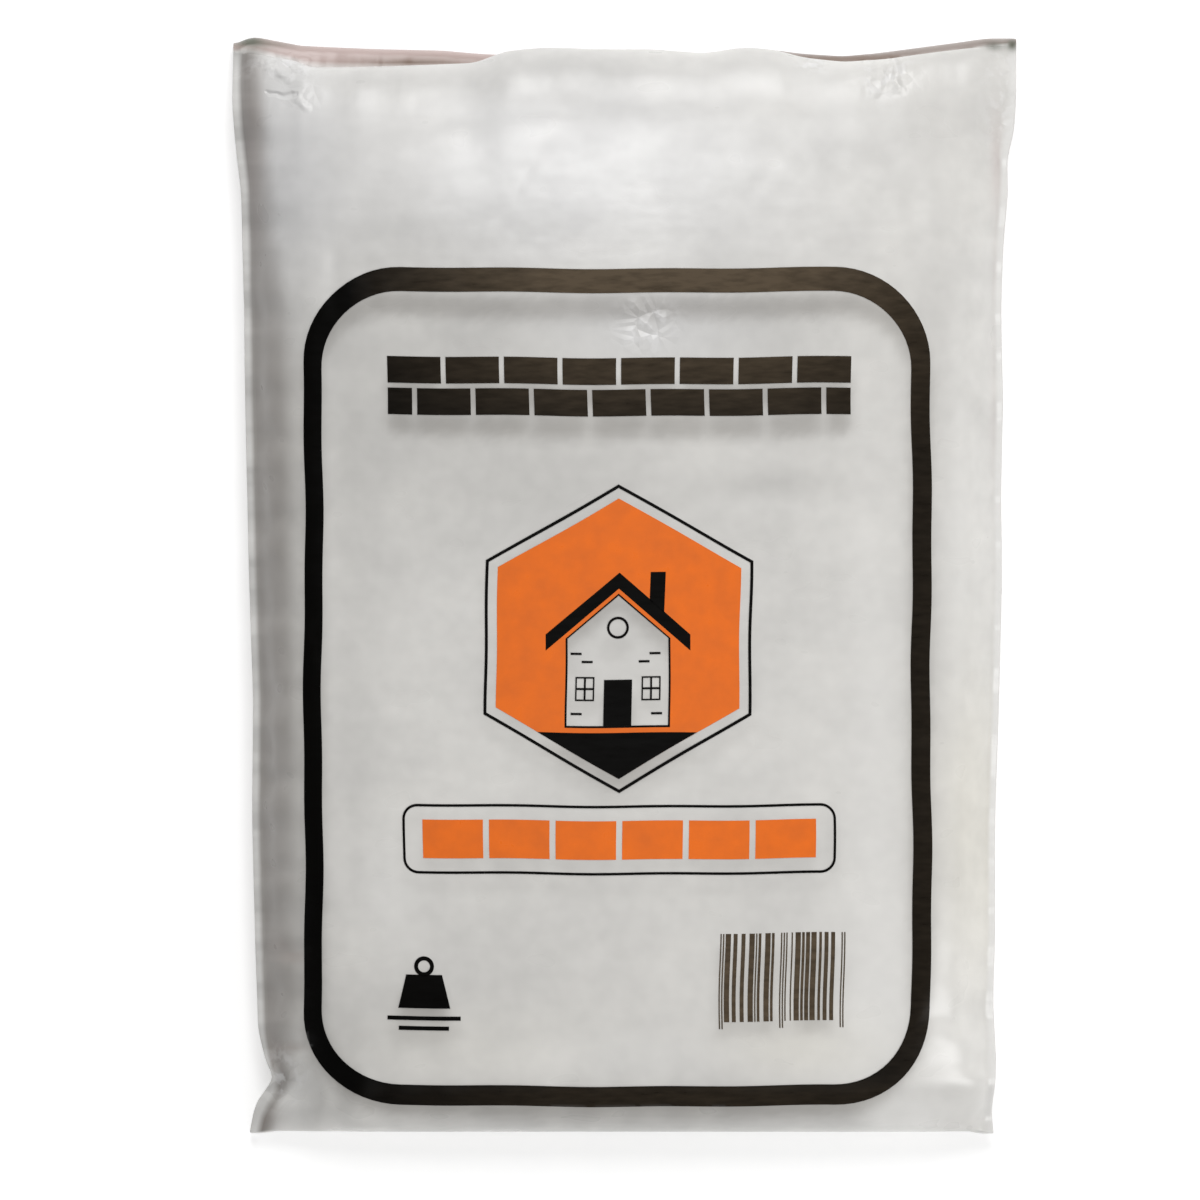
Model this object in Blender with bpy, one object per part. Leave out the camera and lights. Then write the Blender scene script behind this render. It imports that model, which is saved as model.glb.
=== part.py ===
"""One kilogram bag of cement, lying on its back: a welded film pouch, filled tight.

X runs across the bag, Y along it towards its top end, and Z up from the floor that it lies on.
The pouch is a tube of film that is folded along both sides and welded shut at both ends, so the
filled bag is one closed solid. Its side folds and its two seal flaps are flat double film.
"""

import math

import bmesh
import bpy

# Overall sizes, in metres
BAG_WIDTH = 0.157  # across the two ears of the top seal
BAG_LENGTH = 0.220  # from the bottom end to the tips of the top ears
BOTTOM_EDGE = -BAG_LENGTH / 2
FILM_EDGE = 0.0005  # the two sheets where they lie together

# Front panel
PANEL_LOW = 0.0297  # height over the floor, towards the bottom end
PANEL_HIGH = 0.0262  # the same towards the top end, which holds less cement
PANEL_CROWN = 0.0032  # how much lower it is near its sides than along its middle
CROWN_PLACE = 0.0625  # where on X it is that much lower
FULLNESS = 15  # a higher power gives a flatter panel and a steeper edge
UNDERSIDE_FLAT = 0.80  # share of the width, and of the length, that lies flat on the floor

# Side folds: the left one lies lower, so more of the side wall shows there from the front
FOLD_LEFT = 0.0105  # height over the floor
FOLD_RIGHT = 0.0150
LIP = 0.0018  # flat double film along each fold

# Welds and their flaps, which leave the welds outwards and then hang down
WELD_LOWER = 0.6  # height of the welds, as a share of the folds' height
WELD_RAMP = 0.10  # share of the half length over which the folds come down to the welds
WELD_INSIDE = 0.0030  # how far the filling bulges past the welds
BULGE_LOW = 0.6  # under 1 puts the bulge's outermost line under the middle of the end wall
FLAP_DROP = 0.0050  # how far a flap's cut edge lies under its weld
FLAP_BEND = 0.62  # share of the flap over which it turns down

# Outline along the bag: place on Y, left edge and right edge, each from the middle
SIDE_EDGES = (
    (-0.110, 0.0753, 0.0742),
    (-0.104, 0.0738, 0.0739),
    (-0.099, 0.0704, 0.0744),
    (-0.089, 0.0735, 0.0742),
    (-0.060, 0.0744, 0.0743),
    (0.000, 0.0753, 0.0756),
    (0.079, 0.0769, 0.0768),
    (0.092, 0.0784, 0.0782),
    (0.100, 0.0785, 0.0785),
)
# Outermost line of the filling at the top end: place on X, place on Y
FILLED_TOP = (
    (-0.0785, 0.1050),
    (-0.0630, 0.1036),
    (-0.0390, 0.1046),
    (-0.0160, 0.1081),
    (0.0160, 0.1067),
    (0.0260, 0.1077),
    (0.0440, 0.1048),
    (0.0785, 0.1072),
)
# Outermost line of the top flap, which stands out at the two ears
TOP_FLAP = (
    (-0.0785, 0.1094),
    (-0.0745, 0.1100),
    (-0.0640, 0.1081),
    (-0.0240, 0.1062),
    (0.0160, 0.1058),
    (0.0291, 0.1073),
    (0.0439, 0.1059),
    (0.0663, 0.1090),
    (0.0745, 0.1100),
    (0.0785, 0.1096),
)

# How finely the sheets are divided
STEPS_ACROSS = 32
STEPS_BODY = 46
STEPS_FLAP = 4

FILM_COLOUR = (0.72, 0.72, 0.71, 1.0)


def clear_scene():
    for obj in list(bpy.data.objects):
        bpy.data.objects.remove(obj, do_unlink=True)


def film_material():
    material = bpy.data.materials.new("white_film")
    material.use_nodes = True
    shader = material.node_tree.nodes["Principled BSDF"]
    shader.inputs["Base Color"].default_value = FILM_COLOUR
    shader.inputs["Roughness"].default_value = 0.32
    shader.inputs["Metallic"].default_value = 0.0
    return material


def smooth_step(share):
    share = min(1.0, max(0.0, share))
    return share * share * (3.0 - 2.0 * share)


def read_line(line, place, column=1):
    """Smoothly read value of a line that is given by a few places in rising order."""
    for low, high in zip(line, line[1:]):
        if place <= high[0]:
            share = smooth_step((place - low[0]) / (high[0] - low[0]))
            return low[column] + (high[column] - low[column]) * share
    return line[-1][column]


def half_width(y, across):
    return read_line(SIDE_EDGES, y, 1 if across < 0 else 2)


def swell(place, power):
    """Height share of a filled sheet at a place from -1 to 1 between its two edges."""
    return math.sqrt(max(0.0, 1.0 - abs(place) ** power))


def panel_height(x, y):
    """Height of the front panel, before its edges turn down."""
    towards_top = smooth_step((y - BOTTOM_EDGE) / BAG_LENGTH)
    return PANEL_LOW + (PANEL_HIGH - PANEL_LOW) * towards_top - PANEL_CROWN * (x / CROWN_PLACE) ** 2


def fold_height(x):
    return FOLD_LEFT + (FOLD_RIGHT - FOLD_LEFT) * (x / BAG_WIDTH + 0.5)


def weld_places(across):
    """Y of the bottom weld and of the top weld at a place across the bag."""
    return BOTTOM_EDGE + WELD_INSIDE, read_line(FILLED_TOP, across * BAG_WIDTH / 2) - WELD_INSIDE


def body_point(across, along, sheet):
    """Point of the filled part; across and along run from -1 to 1 between folds and welds."""
    bottom, top = weld_places(across)
    y = bottom + (top - bottom) * (along + 1.0) / 2.0
    x = across * (half_width(y, across) - LIP)
    ramp = smooth_step((1.0 - abs(along)) / WELD_RAMP)
    rim = fold_height(x) * (WELD_LOWER + (1.0 - WELD_LOWER) * ramp) + sheet * FILM_EDGE / 2
    if sheet > 0:
        end_rise = swell(along, FULLNESS)
        rise = swell(across, FULLNESS) * end_rise
        z = rim + (panel_height(x, y) - rim) * rise
        bulge = WELD_INSIDE * math.sin(math.pi * end_rise ** BULGE_LOW) * swell(across, FULLNESS)
        y += math.copysign(bulge, along)
    else:
        inward_x = min(1.0, (1.0 - abs(across)) / (1.0 - UNDERSIDE_FLAT))
        inward_y = min(1.0, (1.0 - abs(along)) / (1.0 - UNDERSIDE_FLAT))
        z = rim * (1.0 - swell(1.0 - inward_x, 2) * swell(1.0 - inward_y, 2))
    return x, y, z


def flap_point(across, share, end, sheet):
    """Point of a seal flap; share runs from 0 at the weld to 1 at the cut edge."""
    x, weld, rim = body_point(across, end, sheet)
    outermost = BOTTOM_EDGE if end < 0 else read_line(TOP_FLAP, x)
    turn = min(1.0, share / FLAP_BEND) * math.pi / 2
    stand = abs(outermost - weld) + (sheet - 1) * FILM_EDGE / 2
    drop = FLAP_DROP * (1.0 - math.cos(share * math.pi / 2))
    z = rim - sheet * FILM_EDGE / 2 * (1.0 - math.cos(turn)) - drop
    return x, weld + end * stand * math.sin(turn), z


def bag_point(column, row, sheet):
    """Maps a place on the divided box to the bag; columns count from the left, rows from the bottom."""
    inner = min(max(column, 1), STEPS_ACROSS - 1)
    across = -math.cos(math.pi * (inner - 1) / (STEPS_ACROSS - 2))
    row -= STEPS_FLAP
    if row < 0:
        x, y, z = flap_point(across, -row / STEPS_FLAP, -1, sheet)
    elif row > STEPS_BODY:
        x, y, z = flap_point(across, (row - STEPS_BODY) / STEPS_FLAP, 1, sheet)
    else:
        x, y, z = body_point(across, -math.cos(math.pi * row / STEPS_BODY), sheet)
    if column != inner:
        x += math.copysign(LIP, across)
    return x, y, z


def divide(bm, axis, pieces):
    """Cuts every edge that runs along an axis of the box into equal pieces."""
    edges = [e for e in bm.edges if abs(e.verts[0].co[axis] - e.verts[1].co[axis]) > 1.0]
    bmesh.ops.subdivide_edges(bm, edges=edges, cuts=pieces - 1, use_grid_fill=True)


def make_filled_bag(collection):
    rows = STEPS_BODY + 2 * STEPS_FLAP
    bm = bmesh.new()
    bmesh.ops.create_cube(bm, size=2.0)
    divide(bm, 0, STEPS_ACROSS)
    divide(bm, 1, rows)
    for vert in bm.verts:
        column = round((vert.co.x + 1.0) / 2.0 * STEPS_ACROSS)
        row = round((vert.co.y + 1.0) / 2.0 * rows)
        vert.co = bag_point(column, row, 1 if vert.co.z > 0 else -1)
    mesh = bpy.data.meshes.new("filled_bag")
    bm.to_mesh(mesh)
    bm.free()
    mesh.shade_smooth()
    mesh.set_sharp_from_angle(angle=math.radians(40))
    mesh.materials.append(film_material())
    bag = bpy.data.objects.new("filled_bag", mesh)
    collection.objects.link(bag)
    return bag


def main():
    clear_scene()
    collection = bpy.data.collections.new("cement_bag")
    bpy.context.scene.collection.children.link(collection)
    make_filled_bag(collection)


main()
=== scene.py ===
"""The looks of a one kilogram bag of cement: a milky film pouch, printed on its front.

The bag lies on its back. X runs across it, Y along it towards its top seal and Z up, out of the
printed face. Lengths are in metres.
"""

import math

import bmesh
import bpy
import numpy as np
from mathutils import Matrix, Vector
from mathutils.bvhtree import BVHTree


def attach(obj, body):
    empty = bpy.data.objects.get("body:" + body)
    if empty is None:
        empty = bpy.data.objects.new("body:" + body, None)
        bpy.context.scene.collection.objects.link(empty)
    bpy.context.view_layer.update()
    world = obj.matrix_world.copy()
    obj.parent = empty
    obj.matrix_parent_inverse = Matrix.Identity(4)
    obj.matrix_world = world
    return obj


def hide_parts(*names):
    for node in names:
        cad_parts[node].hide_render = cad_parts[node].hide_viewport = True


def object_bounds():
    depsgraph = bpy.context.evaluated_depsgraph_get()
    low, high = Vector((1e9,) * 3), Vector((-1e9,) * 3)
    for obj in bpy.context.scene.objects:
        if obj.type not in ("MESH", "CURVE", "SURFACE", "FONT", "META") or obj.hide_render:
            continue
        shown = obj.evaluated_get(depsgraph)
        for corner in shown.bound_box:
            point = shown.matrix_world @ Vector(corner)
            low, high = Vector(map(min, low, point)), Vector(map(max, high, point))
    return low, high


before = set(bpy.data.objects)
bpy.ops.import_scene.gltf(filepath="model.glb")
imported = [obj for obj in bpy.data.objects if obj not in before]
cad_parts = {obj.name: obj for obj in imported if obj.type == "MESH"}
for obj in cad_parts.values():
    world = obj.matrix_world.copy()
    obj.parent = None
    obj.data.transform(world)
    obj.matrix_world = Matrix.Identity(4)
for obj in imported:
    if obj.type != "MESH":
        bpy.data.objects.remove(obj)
cad_low, cad_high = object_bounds()

# Outline of the pouch seen from above: place on Y, left edge, right edge, each from the middle
OUTLINE = (
    (-0.1100, 0.0753, 0.0741),
    (-0.1059, 0.0745, 0.0737),
    (-0.1035, 0.0737, 0.0739),
    (-0.1011, 0.0719, 0.0742),
    (-0.0989, 0.0704, 0.0744),
    (-0.0951, 0.0721, 0.0745),
    (-0.0891, 0.0735, 0.0742),
    (-0.0831, 0.0737, 0.0739),
    (-0.0711, 0.0741, 0.0743),
    (-0.0471, 0.0747, 0.0743),
    (-0.0231, 0.0745, 0.0751),
    (0.0009, 0.0753, 0.0757),
    (0.0189, 0.0757, 0.0755),
    (0.0369, 0.0761, 0.0759),
    (0.0549, 0.0763, 0.0755),
    (0.0669, 0.0766, 0.0759),
    (0.0789, 0.0769, 0.0769),
    (0.0849, 0.0777, 0.0767),
    (0.0909, 0.0783, 0.0781),
    (0.0969, 0.0787, 0.0785),
    (0.1100, 0.0785, 0.0787),
)
# Where the filling ends at the top, inside the seal flap: place on X, place on Y
FILLED_TOP = (
    (-0.0790, 0.1068),
    (-0.0740, 0.1066),
    (-0.0700, 0.1058),
    (-0.0660, 0.1052),
    (-0.0630, 0.1038),
    (-0.0535, 0.1039),
    (-0.0391, 0.1042),
    (-0.0300, 0.1046),
    (-0.0240, 0.1069),
    (-0.0160, 0.1077),
    (-0.0060, 0.1074),
    (0.0060, 0.1073),
    (0.0160, 0.1065),
    (0.0240, 0.1077),
    (0.0300, 0.1072),
    (0.0360, 0.1056),
    (0.0440, 0.1048),
    (0.0530, 0.1054),
    (0.0640, 0.1070),
    (0.0700, 0.1077),
    (0.0790, 0.1080),
)
# Outermost line of the top flap: place on X, place on Y
TOP_LINE = (
    (-0.0777, 0.1087),
    (-0.0745, 0.1100),
    (-0.0713, 0.1093),
    (-0.0649, 0.1081),
    (-0.0521, 0.1075),
    (-0.0361, 0.1071),
    (-0.0297, 0.1065),
    (-0.0240, 0.1062),
    (0.0160, 0.1058),
    (0.0240, 0.1066),
    (0.0291, 0.1073),
    (0.0351, 0.1065),
    (0.0439, 0.1059),
    (0.0503, 0.1065),
    (0.0567, 0.1073),
    (0.0663, 0.1086),
    (0.0727, 0.1095),
    (0.0787, 0.1095),
)
BOTTOM_EDGE = -0.1097  # the straight bottom end

# Filled pouch
CREASE_LEFT = 0.0105  # height of the tube's left fold over the floor
CREASE_RIGHT = 0.0150
WELD_LOWER = 0.6  # how low the two welds lie, as a share of the folds' height
WELD_INSIDE = 0.0030  # how far the welds lie inside the ends of the filling
PANEL_CROWN = 0.0038  # how much lower the panel is over the side bars of the print
CROWN_PLACE = 0.0625
# Height of the front panel along its middle: place on Y, height over the floor
PANEL_LINE = (
    (-0.1100, 0.0293),
    (-0.0700, 0.0291),
    (0.0000, 0.0277),
    (0.0350, 0.0276),
    (0.0650, 0.0282),
    (0.0850, 0.0266),
    (0.1000, 0.0234),
)
FILM = 0.00025  # two sheets of film, lying together
FLAT_WIDTH = 0.1640  # the empty tube, laid flat
FLAT_LENGTH = 0.2440  # from weld to weld
LIP = 0.0018  # folded edge of the tube, pressed flat outside the filling
FLAP_DROP = 0.0050
LIP_SLOPE = 0.45  # fall of the lips towards their outer edge
WALL_LEAN = 0.0014  # how far the shoulder of the left wall leans inwards
LEAN_PLACE = 0.0065
LEAN_REACH = 0.0050
WALL_TOES = (0.0016, 0.0011)  # how far the foot of the left and of the right wall leans inwards
TOE_HEIGHT = 0.0045  # height over the fold where it leans most

# Dents of the front sheet: middle on X and Y, reach on X and Y, depth
DENTS = (
    (-0.0672, -0.0736, 0.0045, 0.0016, 0.0006),
    (-0.0664, -0.0921, 0.0045, 0.0016, 0.0005),
    (-0.0690, -0.0571, 0.0035, 0.0016, 0.0004),
    (-0.0690, -0.0391, 0.0035, 0.0016, 0.0004),
    (-0.0690, 0.0290, 0.0035, 0.0018, 0.0003),
    (-0.0580, 0.0700, 0.0140, 0.0080, 0.0004),
    (0.0330, 0.0180, 0.0130, 0.0030, 0.0002),
)
# Creases, as grooves or, with a negative depth, as ridges: X, Y, X, Y, half width, depth
CREASES = (
    (-0.0712, 0.0983, -0.0660, 0.0981, 0.0009, 0.00035),
    (-0.0662, 0.0978, -0.0634, 0.0952, 0.0013, -0.00022),
    (-0.0715, 0.1042, -0.0668, 0.1012, 0.0013, -0.00030),
    (0.0507, 0.1045, 0.0503, 0.0985, 0.0018, -0.00030),
    (0.0541, 0.1045, 0.0551, 0.0989, 0.0016, 0.00030),
)
# Soft spots from here on: middle on X and Y, reach on X and Y, strength
# Painted shade and painted light: soft spots that darken the film, dimming highlights and deepening the bottom end,
# or lighten it where it lies in shade
PAINTED_SHADE_SPOTS = (
    (-0.0250, 0.0240, 0.0400, 0.0160, 0.7),
    (-0.0350, 0.0510, 0.0200, 0.0090, 0.6),
    (-0.0440, 0.0690, 0.0180, 0.0080, 0.5),
    (-0.0540, 0.0400, 0.0080, 0.0400, 0.4),
    (-0.0530, -0.0230, 0.0060, 0.0300, 0.3),
    (-0.0300, 0.0990, 0.0040, 0.0060, 0.3),
    (-0.0050, 0.1010, 0.0120, 0.0060, 0.6),
    (0.0350, 0.0870, 0.0200, 0.0070, 0.7),
    (0.0270, 0.0510, 0.0200, 0.0070, 0.4),
    (0.0300, 0.0200, 0.0140, 0.0030, 0.4),
    (0.0715, -0.0230, 0.0040, 0.0500, 0.1),
    (0.0000, -0.1080, 0.0350, 0.0040, 1.0),
    (0.0440, -0.1080, 0.0060, 0.0030, 0.9),
)
# Painted light: lighter spots
PAINTED_LIGHT_SPOTS = (
    (-0.0520, 0.0930, 0.0140, 0.0060, 0.4),
    (-0.0560, 0.0760, 0.0120, 0.0080, 0.3),
    (-0.0230, 0.0930, 0.0060, 0.0050, 0.4),
    (-0.0330, 0.0770, 0.0060, 0.0060, 0.3),
    (-0.0665, -0.1030, 0.0040, 0.0060, 1.0),
    (-0.0720, 0.0370, 0.0030, 0.0140, 0.8),
    (-0.0700, -0.0640, 0.0040, 0.0120, 0.8),
    (-0.0690, -0.1080, 0.0030, 0.0040, 0.8),
    (-0.0460, -0.0590, 0.0060, 0.0100, 0.5),
    (0.0670, 0.0100, 0.0030, 0.0400, 0.4),
    (0.0350, 0.1010, 0.0200, 0.0040, 0.5),
    (0.0460, 0.0930, 0.0080, 0.0040, 0.5),
    (0.0500, -0.0300, 0.0060, 0.0500, 0.4),
    (0.0540, -0.0900, 0.0200, 0.0300, 0.6),
    (0.0560, -0.1070, 0.0060, 0.0040, 1.0),
    (0.0000, -0.0930, 0.0400, 0.0060, 0.4),
)
# Painted tint of the lamps' light: cooler where the high lamp's sheen lies near the top, warmer on the right side
# and lower down
COOL_LIGHT_SPOTS = (
    (-0.0100, 0.0830, 0.0450, 0.0220, 0.9),
    (-0.0700, 0.0850, 0.0130, 0.0300, 0.9),
    (0.0060, 0.0500, 0.0200, 0.0080, 0.6),
)
WARM_LIGHT_SPOTS = (
    (0.0710, -0.0500, 0.0080, 0.0300, 1.0),
    (0.0350, -0.0930, 0.0150, 0.0060, 0.6),
    (-0.0300, -0.0930, 0.0250, 0.0080, 0.3),
)
# Painted shade: grey smudges in the dents of the left wall, high up on it and at the notch under it
PAINTED_FOLD_SHADE = (
    (-0.0738, 0.0870, 0.0018, 0.0170, 0.5),
    (-0.0690, -0.0722, 0.0022, 0.0011, 0.7),
    (-0.0665, -0.0745, 0.0030, 0.0011, 0.9),
    (-0.0668, -0.0926, 0.0032, 0.0010, 0.8),
    (-0.0714, -0.0965, 0.0014, 0.0050, 0.9),
    (-0.0722, -0.1068, 0.0034, 0.0026, 0.5),
    (-0.0742, -0.0640, 0.0012, 0.0070, 0.5),
)
# Faint pink along the right fold
PINKER = (
    (0.0745, 0.0840, 0.0012, 0.0100, 0.8),
    (0.0748, 0.0620, 0.0010, 0.0070, 0.5),
    (0.0740, 0.0350, 0.0010, 0.0120, 0.3),
)
# Painted shadow, brown along the foot of the top flap, where it recedes under the bulging filling
FLAP_FOOT_SHADOW = (
    (-0.0415, 0.1047, 0.0130, 0.0011, 1.0),
    (0.0450, 0.1056, 0.0150, 0.0009, 0.8),
)
# Crinkled places of the film
CRINKLES = (
    (-0.0680, 0.1040, 0.0060, 0.0022, 0.6),
    (-0.0650, 0.0985, 0.0040, 0.0030, 0.25),
    (0.0375, 0.1045, 0.0030, 0.0020, 0.6),
    (0.0525, 0.1020, 0.0050, 0.0040, 0.5),
    (0.0045, 0.0515, 0.0050, 0.0045, 0.5),
    (-0.0690, -0.0990, 0.0050, 0.0050, 0.5),
    (0.0760, 0.0980, 0.0040, 0.0120, 0.3),
)
# Width of the painted shade down the left wall, which faces away from the lamps: place on Y, width
WALL_SHADE_STRIP = (
    (-0.1100, 0.0060),
    (-0.0980, 0.0060),
    (-0.0820, 0.0120),
    (-0.0230, 0.0118),
    (0.0400, 0.0128),
    (0.0770, 0.0080),
    (0.0930, 0.0085),
    (0.1060, 0.0070),
)
# Folded ears of the top seal, coloured darker
EARS = (
    (-0.0755, 0.1093, 0.0036, 0.0019, 1.0),
    (-0.0690, 0.1085, 0.0060, 0.0009, 0.4),
    (0.0740, 0.1080, 0.0020, 0.0010, 0.8),
    (0.0778, 0.1083, 0.0011, 0.0013, 1.0),
)

SOFT_MARKS = (
    ("painted_shade", PAINTED_SHADE_SPOTS),
    ("painted_light", PAINTED_LIGHT_SPOTS),
    ("painted_cool_light", COOL_LIGHT_SPOTS),
    ("painted_warm_light", WARM_LIGHT_SPOTS),
    ("pinker", PINKER),
    ("painted_fold_shade", PAINTED_FOLD_SHADE),
    ("painted_flap_shadow", FLAP_FOOT_SHADOW),
    ("crinkled", CRINKLES),
    ("ear", EARS),
)

# Divisions of a sheet
CELLS_ACROSS = 80
CELLS_ALONG = 118
CELLS_LIP = 2
CELLS_FLAP = 5

# Print, seen from above
FRAME_LEFT = -0.0643
FRAME_RIGHT = 0.0609
FRAME_LOW = -0.1041
FRAME_HIGH = 0.0633
COURSES = (-0.0475, 0.0451, 0.0339, 0.0455)  # left, right, low and high edge of the brick courses
BADGE = (-0.0015, -0.0105)
BRICK_MARKS = (
    (-0.0084, -0.0030),
    (-0.0062, -0.0046),
    (0.0074, -0.0030),
    (0.0052, -0.0046),
    (-0.0082, -0.0150),
    (0.0078, -0.0150),
)
RAIL = (-0.0447, 0.0417, -0.0577, -0.0438)
WEIGHT = (-0.0402, -0.0742)  # middle and upper edge of the weight sign
BARS = (0.0187, 0.0437, -0.0871, -0.0695)
MODULE = 0.000264  # narrowest bar
INK_CELL = 0.0009
INK_RISE = 0.00006
INK_STEP = 0.00004  # how much higher the black lies where it overprints the orange
INK_DEPTH = 0.00015
# Shade that the print throws through the film on the powder under it
# How far it falls towards the bottom end: place on Y, fall along the middle and at the sides
SHADE_FALL = (
    (-0.1040, 0.0028, 0.0008),
    (0.0000, 0.0036, 0.0016),
    (0.0400, 0.0053, 0.0022),
    (0.0640, 0.0056, 0.0032),
)
SHADE_BLUR = 0.0011
SHADE_CELL = 0.0004
ORANGE_SHADE = 0.35

# Colours
FILM_LIGHT = (0.700, 0.686, 0.656)
FILM_GREY = (0.620, 0.608, 0.584)
LEFT_WALL_SHADE = (0.288, 0.267, 0.248)  # painted shade on the left wall, which faces away from the lamps, dark and brownish
FILM_EMPTY = (0.700, 0.690, 0.670)  # double film with nothing behind it
# Painted light
PAINTED_LIGHT_TINT = (0.860, 0.850, 0.825)
# Painted tints of cool and warm light
COOL_LIGHT_TINT = (1.000, 1.012, 1.050)
WARM_LIGHT_TINT = (1.030, 1.015, 0.960)
CRINKLE_WHITE_AND_GLINT = (0.850, 0.845, 0.850)  # film that sharp crinkles have turned white, partly a painted glint on the crinkles
FLAP_PINK = (0.520, 0.410, 0.385)
FLAP_GREY = (0.330, 0.280, 0.255)
# Painted shadow at the foot of the top flap
FLAP_SHADOW_BROWN = (0.190, 0.130, 0.095)
SEAL_DARK = (0.120, 0.125, 0.095)
SHADE = (0.65, 0.64, 0.63)
INK_BLACK = (0.0016, 0.0014, 0.0011)
# Brown of thin ink, partly a painted sheen of the lamps
INK_BROWN = (0.092, 0.068, 0.044)
INK_ORANGE = (0.830, 0.165, 0.016)

# Simulation, at ten times the real size
SIM_SCALE = 10.0
SIM_FRAMES = 30
FOLD_SEED = 0.0008  # depth of the shallow folds that the film starts with


def smooth_step(share):
    share = np.clip(share, 0.0, 1.0)
    return share * share * (3.0 - 2.0 * share)


def side_edge(y, side):
    """Signed X of the left (-1) or right (1) edge of the pouch at a place along it."""
    places = [row[0] for row in OUTLINE]
    widths = [row[1 if side < 0 else 2] for row in OUTLINE]
    return side * np.interp(y, places, widths)


def line_at(line, x):
    return np.interp(x, [row[0] for row in line], [row[1] for row in line])


def crease_height(x):
    share = (x - cad_low[0]) / (cad_high[0] - cad_low[0])
    return CREASE_LEFT + (CREASE_RIGHT - CREASE_LEFT) * share


def smooth_line(line, place):
    """Value of the smooth curve through a few points, at any places along it."""
    x, y = np.array(line).T
    slope = np.gradient(y, x)
    place = np.clip(place, x[0], x[-1])
    k = np.clip(np.searchsorted(x, place) - 1, 0, len(x) - 2)
    step = x[k + 1] - x[k]
    t = (place - x[k]) / step
    ends = y[k] * (1 + 2 * t) * (1 - t) ** 2 + y[k + 1] * t * t * (3 - 2 * t)
    return ends + step * (slope[k] * t * (1 - t) ** 2 - slope[k + 1] * t * t * (1 - t))


def panel_height(x, y):
    """Height of the filled front panel, before its edges turn down."""
    return smooth_line(PANEL_LINE, y) - PANEL_CROWN * (x / CROWN_PLACE) ** 2


def swell(place, power):
    return np.sqrt(np.clip(1.0 - np.abs(place) ** power, 0.0, 1.0))


def even_steps(points, count):
    """Points evenly spaced along a line that is given finely."""
    length = np.concatenate(([0.0], np.cumsum(np.linalg.norm(np.diff(points, axis=0), axis=1))))
    wanted = np.linspace(0.0, length[-1], count)
    return np.stack([np.interp(wanted, length, column) for column in points.T], axis=1)


def filled_point(across, along, sheet):
    """Place on the filled pouch; across and along run from -1 to 1 between folds and welds."""
    low = BOTTOM_EDGE + WELD_INSIDE
    x_guess = across * 0.075
    high = line_at(FILLED_TOP, x_guess) - WELD_INSIDE
    y = low + (high - low) * (along + 1.0) / 2.0
    left = side_edge(y, -1) + LIP
    right = side_edge(y, 1) - LIP
    x = np.where(across < 0, -across * left, across * right)
    crease = crease_height(x)
    ends = swell(along, np.where(along < 0, 8.0, 12.0))
    rim = crease * (WELD_LOWER + (1.0 - WELD_LOWER) * smooth_step((1.0 - np.abs(along)) / 0.10))
    if sheet > 0:
        rise = swell(across, 8.0) * ends
        z = rim + (panel_height(x, y) - rim) * rise
        bulge = WELD_INSIDE * np.sin(math.pi * np.clip(ends, 0.0, 1.0)) * (np.abs(along) > 0.8)
        y = y + np.sign(along) * bulge * swell(across, 8.0)
    else:
        z = rim * (1.0 - swell(across, 6.0) * swell(along, 12.0))
    return np.stack([x, y, z], axis=-1)


def start_shape():
    """Both sheets of the filled pouch, as arrays of points: sheet, across, along."""
    fine = np.sin(np.linspace(-1.0, 1.0, 1201) * math.pi / 2)
    sheets = []
    for sheet in (1, -1):
        middle = filled_point(np.zeros_like(fine), fine, sheet)
        length = np.concatenate(([0.0], np.cumsum(np.linalg.norm(np.diff(middle, axis=0), axis=1))))
        places = np.interp(np.linspace(0.0, length[-1], CELLS_ALONG + 1), length, fine)
        rows = []
        for along in places:
            line = filled_point(fine, np.full_like(fine, along), sheet)
            rows.append(even_steps(line, CELLS_ACROSS + 1))
        sheets.append(np.stack(rows, axis=1))
    return np.stack(sheets)


def waves(places, shortest, longest, seed):
    """Uneven waves made of a few sine waves of unlike length."""
    chance = np.random.default_rng(seed)
    total = np.zeros_like(places)
    count = 6
    for _ in range(count):
        length = chance.uniform(shortest, longest)
        total += np.sin(2 * math.pi * (places / length + chance.uniform(0.0, 1.0)))
    return total / math.sqrt(count)


def fold_seeds(points):
    """Shallow folds square to the edges, which deepen where the film is too long for its place."""
    x, y = points[..., 0], points[..., 1]
    move = np.zeros(points.shape[:3])
    for sheet in (0, 1):
        for side in (-1, 1):
            away = np.abs(side_edge(y[sheet], side) - x[sheet])
            wave = waves(y[sheet], 0.008, 0.022, 10 + sheet * 2 + side)
            move[sheet] += np.exp(-away / 0.010) * wave
        for end, edge in ((-1, BOTTOM_EDGE), (1, line_at(FILLED_TOP, x[sheet]))):
            away = np.abs(edge - y[sheet])
            wave = waves(x[sheet], 0.006, 0.018, 20 + sheet * 2 + end)
            move[sheet] += 0.6 * np.exp(-away / 0.008) * wave
    return FOLD_SEED * move


def join_sheets(points):
    """One closed mesh from two sheets that share their rim; gives points, faces and numbers."""
    across, along = points.shape[1:3]
    number = np.arange(across * along).reshape(across, along)
    back = number + across * along
    for rim in (np.s_[0, :], np.s_[-1, :], np.s_[:, 0], np.s_[:, -1]):
        back[rim] = number[rim]
    numbers = np.stack([number, back])
    used, numbers = np.unique(numbers, return_inverse=True)
    numbers = numbers.reshape(2, across, along)
    flat = points.reshape(-1, 3)[used]
    faces = []
    for sheet in (0, 1):
        n = numbers[sheet]
        quads = np.stack([n[:-1, :-1], n[1:, :-1], n[1:, 1:], n[:-1, 1:]], axis=-1).reshape(-1, 4)
        faces.append(quads if sheet == 0 else quads[:, ::-1])
    return flat, np.concatenate(faces), numbers


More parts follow.
